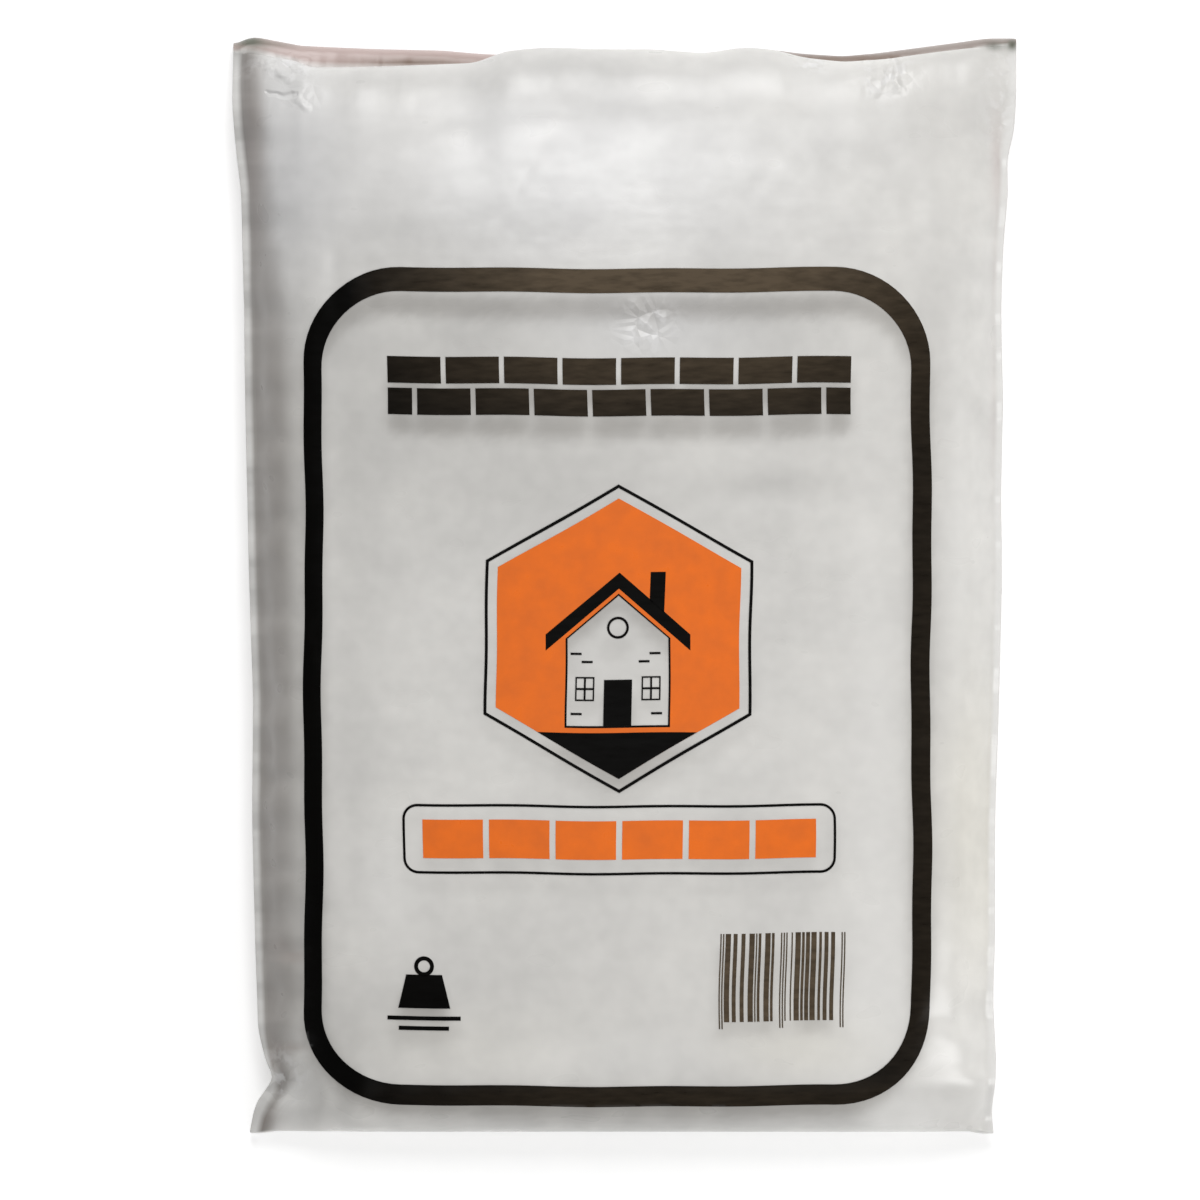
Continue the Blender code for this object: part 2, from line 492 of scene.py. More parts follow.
def plate(name, height, side):
    """Something firm over or under the pouch while it fills; side is 1 over it and -1 under it."""
    bm = bmesh.new()
    bmesh.ops.create_grid(bm, x_segments=60, y_segments=80, size=1.0)
    for vert in bm.verts:
        x, y = vert.co.x * 0.11, vert.co.y * 0.15
        z = height(x, y)
        vert.co = Vector((x, y, z)) * SIM_SCALE
    if side > 0:
        bmesh.ops.reverse_faces(bm, faces=bm.faces)
    mesh = bpy.data.meshes.new(name)
    bm.to_mesh(mesh)
    bm.free()
    obj = bpy.data.objects.new(name, mesh)
    bpy.context.scene.collection.objects.link(obj)
    obj.modifiers.new("collision", "COLLISION")
    obj.collision.thickness_outer = 0.003
    obj.collision.thickness_inner = 0.2
    obj.collision.cloth_friction = 5
    return obj


def fill_pouch(points):
    """Lets the film settle over its filling, and gives the settled points of both sheets."""
    flat, faces, numbers = join_sheets(points)
    mesh = bpy.data.meshes.new("pouch")
    mesh.from_pydata((flat * SIM_SCALE).tolist(), [], faces.tolist())
    pouch = bpy.data.objects.new("pouch", mesh)
    scene = bpy.context.scene
    scene.collection.objects.link(pouch)
    pouch.shape_key_add(name="filled")
    empty = pouch.shape_key_add(name="empty")
    across, along = points.shape[1:3]
    spread = np.zeros((2, across, along, 3))
    spread[..., 0] = np.linspace(-0.5, 0.5, across)[None, :, None] * FLAT_WIDTH
    spread[..., 1] = np.linspace(-0.5, 0.5, along)[None, None, :] * FLAT_LENGTH
    spread[0, ..., 2] = 0.00001
    laid = np.zeros_like(flat)
    laid[numbers.ravel()] = spread.reshape(-1, 3)
    empty.data.foreach_set("co", (laid * SIM_SCALE).ravel())
    welds = pouch.vertex_groups.new(name="welds")
    welds.add(np.unique(numbers[:, :, (0, -1)]).tolist(), 1.0, "REPLACE")
    cloth = pouch.modifiers.new("film", "CLOTH")
    film = cloth.settings
    film.quality = 6
    film.mass = 0.05
    film.tension_stiffness = 150
    film.compression_stiffness = 150
    film.shear_stiffness = 60
    film.bending_stiffness = 0.5
    film.tension_damping = 2
    film.compression_damping = 2
    film.shear_damping = 2
    film.air_damping = 1
    film.rest_shape_key = empty
    film.vertex_group_mass = "welds"
    film.use_pressure = True
    film.uniform_pressure_force = 3.0
    film.effector_weights.gravity = 0
    cloth.collision_settings.distance_min = 0.003
    cloth.point_cache.frame_start = 1
    cloth.point_cache.frame_end = SIM_FRAMES
    floor = plate("under", lambda x, y: 0.0, -1)
    lid = plate("over", lambda x, y: float(panel_height(x, y)), 1)
    for number in range(1, SIM_FRAMES + 1):
        scene.frame_set(number)
    settled = pouch.evaluated_get(bpy.context.evaluated_depsgraph_get()).data
    places = np.empty(len(settled.vertices) * 3)
    settled.vertices.foreach_get("co", places)
    places = places.reshape(-1, 3) / SIM_SCALE
    for obj in (pouch, floor, lid):
        bpy.data.objects.remove(obj, do_unlink=True)
    scene.frame_set(1)
    return places[numbers]


def fit_outline(points):
    """Brings the settled film back to the outline of the bag, seen from above."""
    fitted = points.copy()
    x, y, z = points[..., 0], points[..., 1], points[..., 2]
    rims = []
    for column in (0, -1):
        rim = points[0, column]
        order = np.argsort(rim[:, 1])
        rims.append(np.interp(y, rim[order, 1], rim[order, 0]))
    middle = (rims[0] + rims[1]) / 2
    half = (rims[1] - rims[0]) / 2
    left = side_edge(y, -1) + LIP
    right = side_edge(y, 1) - LIP
    fitted[..., 0] = (left + right) / 2 + (x - middle) / half * (right - left) / 2
    away = fitted[0, ..., 0] - left[0]
    lean = np.exp(-(((away - LEAN_PLACE) / LEAN_REACH) ** 2)) * (1.0 - np.exp(-((away / 0.002) ** 2)))
    fitted[0, ..., 0] += WALL_LEAN * lean
    for column, way, toe in ((0, 1, WALL_TOES[0]), (-1, -1, WALL_TOES[1])):
        over = np.clip(z[0] - z[0, column], 0.0, None) / TOE_HEIGHT
        near = smooth_step((0.030 - np.abs(fitted[0, ..., 0] - fitted[0, column, :, 0])) / 0.010)
        fitted[0, ..., 0] += way * toe * over * np.exp((1.0 - over**2) / 2) * near
    outer_top = y[0].max(axis=-1)[None, :, None]
    outer_low = y[0].min(axis=-1)[None, :, None]
    top = line_at(FILLED_TOP, fitted[..., 0])
    fitted[..., 1] = np.where(y > 0, y * top / outer_top, y * BOTTOM_EDGE / outer_low)
    fitted[..., 2] = 0.0001 + (z - z.min()) * (cad_high[2] - 0.0002) / np.ptp(z)
    return fitted


def add_lips(points):
    """Adds the folded edge of the tube along both sides, two sheets lying together."""
    columns = [points]
    for side, column in ((-1, 0), (1, -1)):
        rim = points[0, column]
        outer = side_edge(rim[:, 1], side)
        step = (outer - rim[:, 0])[:, None] * np.array([[1.0, 0.0, -side * LIP_SLOPE]])
        for k in range(1, CELLS_LIP + 1):
            place = rim + step * k / CELLS_LIP
            both = np.stack([place, place])[:, None]
            if side < 0:
                columns.insert(0, both)
            else:
                columns.append(both)
    return np.concatenate(columns, axis=1)


def add_flaps(points):
    """Adds the welded flaps of both ends, which leave the weld outwards and hang down."""
    rows = [points]
    for end, row in ((-1, 0), (1, -1)):
        weld = points[0, :, row]
        if end > 0:
            edge = line_at(TOP_LINE, weld[:, 0])
        else:
            edge = np.full(len(weld), BOTTOM_EDGE + 0.0004)
        stand = np.abs(edge - weld[:, 1])
        for k in range(1, CELLS_FLAP + 1):
            share = k / CELLS_FLAP
            turn = min(1.0, share * 1.6) * math.pi / 2
            place = weld.copy()
            place[:, 1] += end * stand * math.sin(turn)
            drop = FLAP_DROP * (1.0 - math.cos(share * math.pi / 2))
            place[:, 2] = np.maximum(place[:, 2] - drop, 0.0006)
            both = np.stack([place, place])[:, :, None]
            if end < 0:
                rows.insert(0, both)
            else:
                rows.append(both)
    return np.concatenate(rows, axis=2)


def part_sheets(points):
    """Moves the two sheets apart by the film's thickness, square to the film."""
    middle = points.mean(axis=0)
    along_x = np.gradient(middle, axis=0)
    along_y = np.gradient(middle, axis=1)
    square = np.cross(along_x, along_y)
    square /= np.linalg.norm(square, axis=-1, keepdims=True) + 1e-12
    gap = np.linalg.norm(points[0] - points[1], axis=-1, keepdims=True)
    need = np.clip(FILM - gap, 0.0, FILM) / 2
    parted = points.copy()
    parted[0] += square * need
    parted[1] -= square * need
    return parted


def closed_mesh(name, points):
    """A closed mesh of two sheets that are joined by a narrow strip along their whole rim."""
    across, along = points.shape[1:3]
    number = np.arange(2 * across * along).reshape(2, across, along)
    laid = np.empty((2, across, along, 2))
    laid[..., 0] = np.linspace(0.03, 0.47, across)[None, :, None]
    laid[1, ..., 0] += 0.5
    laid[..., 1] = np.linspace(0.03, 0.97, along)[None, None, :]
    faces = []
    layout = []
    for sheet in (0, 1):
        corners = (np.s_[:-1, :-1], np.s_[1:, :-1], np.s_[1:, 1:], np.s_[:-1, 1:])
        corners = corners if sheet == 0 else corners[::-1]
        faces.append(np.stack([number[sheet][c] for c in corners], axis=-1).reshape(-1, 4))
        layout.append(np.stack([laid[sheet][c] for c in corners], axis=-2).reshape(-1, 4, 2))
    rims = (
        (np.s_[:, :, 0], (0.0, -0.01)),
        (np.s_[:, -1, :], (0.01, 0.0)),
        (np.s_[:, ::-1, -1], (0.0, 0.01)),
        (np.s_[:, 0, ::-1], (-0.01, 0.0)),
    )
    for rim, outwards in rims:
        front, back = number[rim]
        faces.append(np.stack([back[:-1], back[1:], front[1:], front[:-1]], axis=-1))
        edge = laid[rim][0]
        outer = edge + outwards
        layout.append(np.stack([outer[:-1], outer[1:], edge[1:], edge[:-1]], axis=-2))
    mesh = bpy.data.meshes.new(name)
    mesh.from_pydata(points.reshape(-1, 3).tolist(), [], np.concatenate(faces).tolist())
    mesh.uv_layers.new(name="OFBake").uv.foreach_set("vector", np.concatenate(layout).ravel())
    filled = np.zeros((2, across, along))
    filled[:, CELLS_LIP:-CELLS_LIP, CELLS_FLAP:-CELLS_FLAP] = 1.0
    store(mesh, "filled", filled)
    flap = np.zeros((2, across, along))
    flap[:, :, -CELLS_FLAP:] = 1.0
    store(mesh, "top_flap", flap)
    obj = bpy.data.objects.new(name, mesh)
    bpy.context.scene.collection.objects.link(obj)
    return obj


def store(mesh, name, values):
    mesh.attributes.new(name, "FLOAT", "POINT").data.foreach_set("value", np.ravel(values))


def smoothed(rough, name):
    """A new object with the smoothed mesh of an object, which is removed."""
    smooth = rough.modifiers.new("smooth", "SUBSURF")
    smooth.levels = smooth.render_levels = 1
    depsgraph = bpy.context.evaluated_depsgraph_get()
    settled = rough.evaluated_get(depsgraph)
    mesh = bpy.data.meshes.new_from_object(settled, preserve_all_data_layers=True, depsgraph=depsgraph)
    mesh.name = name
    bpy.data.objects.remove(rough, do_unlink=True)
    obj = bpy.data.objects.new(name, mesh)
    bpy.context.scene.collection.objects.link(obj)
    return obj


def vectors(items, name):
    values = np.empty(len(items) * 3)
    items.foreach_get(name, values)
    return values.reshape(-1, 3)


def press_dents(mesh):
    """Presses the small dents and creases into the front sheet."""
    places = vectors(mesh.vertices, "co")
    facing = vectors(mesh.vertices, "normal")
    depth = np.zeros(len(places))
    for x, y, reach_x, reach_y, deep in DENTS:
        far = ((places[:, 0] - x) / reach_x) ** 2 + ((places[:, 1] - y) / reach_y) ** 2
        depth += deep * np.exp(-far)
    depth *= smooth_step(facing[:, 2] / 0.3)
    places -= facing * depth[:, None]
    mesh.vertices.foreach_set("co", places.ravel())
    mesh.update()


def soft_spots(places, spots):
    """How much of some soft spots reaches each place, from 0 to 1."""
    total = np.zeros(len(places))
    for x, y, reach_x, reach_y, strength in spots:
        far = ((places[:, 0] - x) / reach_x) ** 2 + ((places[:, 1] - y) / reach_y) ** 2
        total += strength * np.exp(-far)
    return np.clip(total, 0.0, 1.0)


def inside(outline, x, y):
    """Whether places lie inside a closed outline."""
    result = np.zeros(np.broadcast(x, y).shape, bool)
    for (ax, ay), (bx, by) in zip(outline, outline[1:] + outline[:1]):
        if ay != by:
            crosses = (ay > y) != (by > y)
            result ^= crosses & (x < ax + (bx - ax) * (y - ay) / (by - ay))
    return result


def ink_map(prints):
    """How much ink lies round each cell of a flat grid, and the grid's lowest corner."""
    low = np.array([cad_low[0], cad_low[1]])
    count = np.ceil((np.array([cad_high[0], cad_high[1]]) - low) / SHADE_CELL).astype(int)
    cover = np.zeros(count)
    x = (low[0] + (np.arange(count[0]) + 0.5) * SHADE_CELL)[:, None]
    y = (low[1] + (np.arange(count[1]) + 0.5) * SHADE_CELL)[None, :]
    for _, ink, shapes in prints:
        for outlines in shapes:
            reach = np.array(outlines[0])
            first = np.maximum((reach.min(axis=0) - low) / SHADE_CELL - 1, 0).astype(int)
            last = ((reach.max(axis=0) - low) / SHADE_CELL + 2).astype(int)
            part = np.s_[first[0]:last[0], first[1]:last[1]]
            covered = np.zeros(cover[part].shape, bool)
            for outline in outlines:
                covered ^= inside(outline, x[first[0]:last[0]], y[:, first[1]:last[1]])
            strength = ORANGE_SHADE if ink == "orange" else 1.0
            cover[part] = np.maximum(cover[part], covered * strength)
    steps = np.arange(-8, 9) * SHADE_CELL
    bell = np.exp(-0.5 * (steps / SHADE_BLUR) ** 2)
    bell /= bell.sum()
    for axis in (0, 1):
        cover = np.apply_along_axis(np.convolve, axis, cover, bell, "same")
    return cover, low


def print_shade(places, facing, prints):
    """How deep the print's shade is at each place of the film, from 0 to 1."""
    cover, low = ink_map(prints)
    x, y = places[:, 0], places[:, 1]
    at, middle, sides = np.array(SHADE_FALL).T
    sideways = np.clip(np.abs(x) / 0.060, 0.0, 1.0) ** 3.5
    fall = np.interp(y, at, middle) * (1.0 - sideways) + np.interp(y, at, sides) * sideways
    column = np.clip(((x - low[0]) / SHADE_CELL).astype(int), 0, cover.shape[0] - 1)
    row = np.clip(((y + fall - low[1]) / SHADE_CELL).astype(int), 0, cover.shape[1] - 1)
    return cover[column, row] * (facing[:, 2] > 0.0)


def add_node(tree, kind, inputs, **settings):
    """A shader node with its settings made, and its inputs set or linked."""
    node = tree.nodes.new("ShaderNode" + kind)
    for name, value in settings.items():
        setattr(node, name, value)
    for socket, value in inputs.items():
        if isinstance(value, bpy.types.NodeSocket):
            tree.links.new(value, node.inputs[socket])
        else:
            node.inputs[socket].default_value = value
    return node


def noise(tree, place, scale, detail=3.0, kind="FBM"):
    inputs = {"Vector": place, "Scale": scale, "Detail": detail}
    return add_node(tree, "TexNoise", inputs, noise_type=kind).outputs["Fac"]


def ramp(tree, value, start, end, low=0.0, high=1.0):
    """Brings a value from one range to another and keeps it there."""
    inputs = {"Value": value, "From Min": start, "From Max": end, "To Min": low, "To Max": high}
    return add_node(tree, "MapRange", inputs).outputs["Result"]


def mix(tree, share, first, second, kind="MIX"):
    inputs = {"Fac": share, "Color1": opaque(first), "Color2": opaque(second)}
    return add_node(tree, "MixRGB", inputs, blend_type=kind).outputs["Color"]


def opaque(colour):
    return colour if isinstance(colour, bpy.types.NodeSocket) else (*colour, 1.0)


def product(tree, first, second):
    return add_node(tree, "Math", {0: first, 1: second}, operation="MULTIPLY").outputs["Value"]


def total(tree, first, second):
    return add_node(tree, "Math", {0: first, 1: second}, operation="ADD").outputs["Value"]


def mark(tree, name):
    """A value that is stored on the film's points."""
    return add_node(tree, "Attribute", {}, attribute_name=name).outputs["Fac"]


def new_material(name):
    material = bpy.data.materials.new(name)
    material.use_nodes = True
    return material, material.node_tree, material.node_tree.nodes["Principled BSDF"]


def crease(tree, flat, start, end, half_width):
    """A smooth ridge line from one place on X and Y to another, 1 along its middle."""
    start = Vector((*start, 0.0))
    way = Vector((*end, 0.0)) - start
    along = add_node(tree, "VectorMath", {0: flat, 1: start}, operation="SUBTRACT").outputs["Vector"]
    share = {0: along, 1: way / way.length_squared}
    share = add_node(tree, "VectorMath", share, operation="DOT_PRODUCT").outputs["Value"]
    share = ramp(tree, share, 0.0, 1.0)
    nearest = add_node(tree, "VectorMath", {0: way, "Scale": share}, operation="SCALE").outputs["Vector"]
    away = add_node(tree, "VectorMath", {0: along, 1: nearest}, operation="DISTANCE").outputs["Value"]
    inputs = {"Value": away, "From Min": 0.0, "From Max": half_width, "To Min": 1.0, "To Max": 0.0}
    return add_node(tree, "MapRange", inputs, interpolation_type="SMOOTHSTEP").outputs["Result"]


def stretched(tree, place, scale):
    return add_node(tree, "Mapping", {"Vector": place, "Scale": scale}).outputs["Vector"]


def film_material():
    """Milky film over grey powder, with mottles, creases, crinkles, the print's shade, and painted light and shade
    where the lamps fall.
    """
    material, tree, shader = new_material("milky_film")
    coordinates = add_node(tree, "TexCoord", {}).outputs
    place = coordinates["Object"]
    axes = add_node(tree, "SeparateXYZ", {"Vector": place}).outputs
    patches = noise(tree, place, 45.0)
    blotches = noise(tree, stretched(tree, place, (0.5, 1.0, 1.0)), 170.0, 1.5)
    grain = noise(tree, place, 300.0, 1.0)
    inputs = {"Vector": place, "Scale": 330.0}
    crumples = add_node(tree, "TexVoronoi", inputs, feature="DISTANCE_TO_EDGE", voronoi_dimensions="2D").outputs["Distance"]
    crinkled = mark(tree, "crinkled")

    colour = mix(tree, ramp(tree, patches, 0.35, 0.65), FILM_GREY, FILM_LIGHT)
    colour = mix(tree, ramp(tree, blotches, 0.30, 0.70, 0.0, 0.45), colour, FILM_GREY)
    colour = mix(tree, ramp(tree, grain, 0.30, 0.70, 0.0, 0.05), colour, (0.0, 0.0, 0.0))
    # Painted shade and painted light, from soft spots
    colour = mix(tree, product(tree, mark(tree, "painted_shade"), 0.20), colour, (0.0, 0.0, 0.0))
    colour = mix(tree, product(tree, mark(tree, "painted_light"), 0.55), colour, PAINTED_LIGHT_TINT)
    # Painted shade down the left wall
    colour = mix(tree, mark(tree, "painted_wall_shade"), colour, LEFT_WALL_SHADE)
    # Painted tints of cool and warm light
    colour = mix(tree, mark(tree, "painted_cool_light"), colour, COOL_LIGHT_TINT, "MULTIPLY")
    colour = mix(tree, mark(tree, "painted_warm_light"), colour, WARM_LIGHT_TINT, "MULTIPLY")
    colour = mix(tree, product(tree, mark(tree, "pinker"), 0.4), colour, FLAP_PINK)
    # Painted shade in the dents and notch of the left wall
    colour = mix(tree, product(tree, mark(tree, "painted_fold_shade"), 0.6), colour, FLAP_GREY)
    colour = mix(tree, mark(tree, "print_shade"), colour, SHADE, "MULTIPLY")
    # Whitened crinkles, partly a painted glint
    whitening_and_glint = product(tree, crinkled, ramp(tree, noise(tree, place, 420.0, 2.0), 0.50, 0.62, 0.0, 0.8))
    colour = mix(tree, whitening_and_glint, colour, CRINKLE_WHITE_AND_GLINT)
    flap = mix(tree, ramp(tree, axes["X"], 0.0, 0.03), FLAP_PINK, FLAP_GREY)
    empty = mix(tree, mark(tree, "top_flap"), FILM_EMPTY, flap)
    colour = mix(tree, mark(tree, "filled"), empty, colour)
    # Painted shadow along the foot of the top flap
    painted_flap_shadow = product(tree, mark(tree, "painted_flap_shadow"), mark(tree, "top_flap"))
    colour = mix(tree, painted_flap_shadow, colour, FLAP_SHADOW_BROWN)
    colour = mix(tree, mark(tree, "ear"), colour, SEAL_DARK)
    tree.links.new(colour, shader.inputs["Base Color"])
    tree.links.new(ramp(tree, blotches, 0.3, 0.7, 0.27, 0.36), shader.inputs["Roughness"])

    relief = product(tree, blotches, 0.00017)
    relief = total(tree, relief, product(tree, grain, 0.00002))
    relief = total(tree, relief, product(tree, product(tree, crumples, crinkled), 0.00130))
    uneven = add_node(tree, "TexNoise", {"Vector": place, "Scale": 260.0, "Detail": 1.0}).outputs["Color"]
    uneven = {0: uneven, 1: (0.0024, 0.0024, 0.0), 2: place}
    uneven = add_node(tree, "VectorMath", uneven, operation="MULTIPLY_ADD").outputs["Vector"]
    flat = {0: uneven, 1: (1.0, 1.0, 0.0), 2: (-0.0012, -0.0012, 0.0)}
    flat = add_node(tree, "VectorMath", flat, operation="MULTIPLY_ADD").outputs["Vector"]
    for x1, y1, x2, y2, half_width, depth in CREASES:
        line = crease(tree, flat, (x1, y1), (x2, y2), half_width)
        relief = total(tree, relief, product(tree, line, -depth))
    for direction, name in (((1.0, 0.15, 0.15), "near_ends"), ((0.15, 1.0, 0.15), "near_sides")):
        pleats = noise(tree, stretched(tree, place, direction), 260.0, 1.0)
        relief = total(tree, relief, product(tree, product(tree, pleats, mark(tree, name)), 0.0008))
    bump = add_node(tree, "Bump", {"Height": relief, "Distance": 1.0, "Strength": 1.0})
    tree.links.new(bump.outputs["Normal"], shader.inputs["Normal"])
    return material


def black_material(name, least_brown):
    """Black ink, thin and brownish across the top of the print, where the brown is partly a painted sheen of the
    lamps on the glossy ink.
    """
    material, tree, shader = new_material(name)
    place = add_node(tree, "TexCoord", {}).outputs["Object"]
    axes = add_node(tree, "SeparateXYZ", {"Vector": place}).outputs
    streaks = noise(tree, stretched(tree, place, (0.25, 1.0, 1.0)), 900.0, 4.0)
    # Brown mostly across the top of the print, partly a painted sheen of the lamps
    right = ramp(tree, axes["X"], 0.040, 0.060, 0.0, 0.14)
    upper = total(tree, ramp(tree, axes["Y"], 0.025, 0.062), ramp(tree, axes["Y"], -0.098, -0.101, 0.0, 0.24))
    middle = product(tree, ramp(tree, axes["X"], -0.055, -0.010), ramp(tree, axes["X"], 0.070, 0.030))
    thin = ramp(tree, total(tree, right, product(tree, upper, middle)), 0.0, 1.0, least_brown)
    thin = product(tree, thin, ramp(tree, streaks, 0.30, 0.70, 0.70, 1.20))
    tree.links.new(mix(tree, thin, INK_BLACK, INK_BROWN), shader.inputs["Base Color"])
    tree.links.new(ramp(tree, streaks, 0.3, 0.7, 0.27, 0.36), shader.inputs["Roughness"])
    shader.inputs["Specular IOR Level"].default_value = 0.08
    return material


def orange_material():
    material, tree, shader = new_material("orange_ink")
    place = add_node(tree, "TexCoord", {}).outputs["Object"]
    patches = noise(tree, place, 220.0, 4.0)
    painted_light = tuple(channel * 0.86 for channel in INK_ORANGE)
    colour = mix(tree, ramp(tree, patches, 0.3, 0.7), INK_ORANGE, painted_light)
    tree.links.new(colour, shader.inputs["Base Color"])
    tree.links.new(ramp(tree, patches, 0.3, 0.7, 0.27, 0.36), shader.inputs["Roughness"])
    shader.inputs["Specular IOR Level"].default_value = 0.25
    return material


def make_film(prints):
    points = start_shape()
    points[..., 2] += fold_seeds(points)
    points[..., 2] = np.clip(points[..., 2], 0.0005, None)
    points[1, 0], points[1, -1] = points[0, 0], points[0, -1]
    points[1, :, 0], points[1, :, -1] = points[0, :, 0], points[0, :, -1]
    points = fill_pouch(points)
    points = fit_outline(points)
    points = part_sheets(add_flaps(add_lips(points)))
    film = smoothed(closed_mesh("rough_film", points), "film_pouch")
    press_dents(film.data)
    places = vectors(film.data.vertices, "co")
    facing = vectors(film.data.vertices, "normal")
    store(film.data, "print_shade", print_shade(places, facing, prints))
    for name, spots in SOFT_MARKS:
        store(film.data, name, soft_spots(places, spots))
    x, y = places[:, 0], places[:, 1]
    near_top = np.exp(-np.abs(line_at(FILLED_TOP, x) - y) / 0.0035)
    near_bottom = 0.3 * np.exp(-np.abs(y - BOTTOM_EDGE) / 0.0030)
    store(film.data, "near_ends", near_top + near_bottom)
    from_left = x - side_edge(y, -1)
    away = np.minimum(from_left, side_edge(y, 1) - x)
    store(film.data, "near_sides", np.exp(-np.abs(away) / 0.0040))
    # Painted shade: a dark strip down the left wall, fading inwards
    strip = line_at(WALL_SHADE_STRIP, y)
    fading = smooth_step((strip - from_left) / (0.65 * strip))
    store(film.data, "painted_wall_shade", smooth_step(from_left / 0.0025) * fading)
    film.data.shade_smooth()
    film.data.materials.append(film_material())
    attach(film, "root")
    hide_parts("filled_bag")
    return film


def film_surface(film):
    """Search tree of the film's final surface."""
    settled = film.evaluated_get(bpy.context.evaluated_depsgraph_get())
    bm = bmesh.new()
    bm.from_mesh(settled.data)
    tree = BVHTree.FromBMesh(bm)
    bm.free()
    return tree


def rounded_box(left, right, low, high, radius, steps=16):
    """Closed outline with round corners; radius is one number, or one for each corner."""
    corners = (
        (right, high, -1, -1, 0),
        (left, high, 1, -1, 1),
        (left, low, 1, 1, 2),
        (right, low, -1, 1, 3),
    )
    outline = []
    for x, y, inward_x, inward_y, quarter in corners:
        for step in range(steps + 1):
            angle = math.pi / 2 * (quarter + step / steps)
            outline.append(
                (x + inward_x * radius + radius * math.cos(angle), y + inward_y * radius + radius * math.sin(angle))
            )
    return outline


def box(left, right, low, high):
    return [(left, low), (right, low), (right, high), (left, high)]


def regular(sides, centre, radius, turn=90.0):
    outline = []
    for k in range(sides):
        angle = math.radians(turn + 360.0 * k / sides)
        outline.append((centre[0] + radius * math.cos(angle), centre[1] + radius * math.sin(angle)))
    return outline


def drawn_out(x, y):
    """Where a place of the print ends up on the stretched film."""
    sideways = 0.0003 + 0.0002 * math.sin(y * 95.0 + 0.6) + 0.0001 * math.sin(y * 260.0 + x * 40.0)
    along = -0.0001 - 0.0002 * math.cos(x * 62.0) + 0.0001 * math.sin(x * 210.0)
    return x + sideways, y + along


def lay_ink(name, shapes, material, slot, rise, tree):
    """Ink on the film: each shape is an outline followed by the outlines of its holes."""
    ink = bmesh.new()
    for outlines in shapes:
        part = bmesh.new()
        for outline in outlines:
            verts = [part.verts.new((x, y, 0.0)) for x, y in outline]
            for first, second in zip(verts, verts[1:] + verts[:1]):
                part.edges.new((first, second))
        bmesh.ops.triangle_fill(part, edges=part.edges[:], use_beauty=True)
        patch = bpy.data.meshes.new("patch")
        part.to_mesh(patch)
        part.free()
        ink.from_mesh(patch)
        bpy.data.meshes.remove(patch)
    for axis in (0, 1):
        reach = [v.co[axis] for v in ink.verts]
        place = math.ceil(min(reach) / INK_CELL) * INK_CELL
        square = (1.0, 0.0, 0.0) if axis == 0 else (0.0, 1.0, 0.0)
        while place < max(reach):
            through = (place, 0.0, 0.0) if axis == 0 else (0.0, place, 0.0)
            geometry = ink.verts[:] + ink.edges[:] + ink.faces[:]
            bmesh.ops.bisect_plane(ink, geom=geometry, dist=1e-7, plane_co=through, plane_no=square)
            place += INK_CELL
    for face in ink.faces:
        if face.normal.z < 0:
            face.normal_flip()
    for vert in ink.verts:
        x, y = drawn_out(vert.co.x, vert.co.y)
        hit = tree.ray_cast(Vector((x, y, 1.0)), Vector((0.0, 0.0, -1.0)))[0]
        vert.co = (x, y, hit.z + rise - INK_DEPTH)
    skirt = bmesh.ops.extrude_face_region(ink, geom=ink.faces[:], use_keep_orig=True)["geom"]
    for element in skirt:
        if isinstance(element, bmesh.types.BMVert):
            element.co.z += INK_DEPTH
    bmesh.ops.recalc_face_normals(ink, faces=ink.faces[:])
    mesh = bpy.data.meshes.new(name)
    ink.to_mesh(mesh)
    ink.free()
    mesh.shade_smooth()
    mesh.set_sharp_from_angle(angle=math.radians(50))
    mesh.materials.append(material)
    obj = bpy.data.objects.new(name, mesh)
    bpy.context.scene.collection.objects.link(obj)
    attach(obj, "root")
    return obj


def shifted(outline, centre):
    return [(x + centre[0], y + centre[1]) for x, y in outline]


def border(outline, inner):
    """A closed line, between an outline and a smaller one."""
    return [outline, inner]


def brick_courses():
    """Two courses of bricks in running bond, with half bricks at the ends of the lower one."""
    left, right, low, high = COURSES
    joint = 0.0010
    pitch = (right - left + joint) / 8
    rise = (high - low + joint) / 2
    bricks = []
    for course in range(2):
        bottom = low + course * rise
        start = left - pitch / 2 * (1 - course)
        for k in range(9 - course):
            begin = max(left, start + k * pitch)
            end = min(right, start + (k + 1) * pitch - joint)
            bricks.append([box(begin, end, bottom, bottom + rise - joint)])
    return bricks


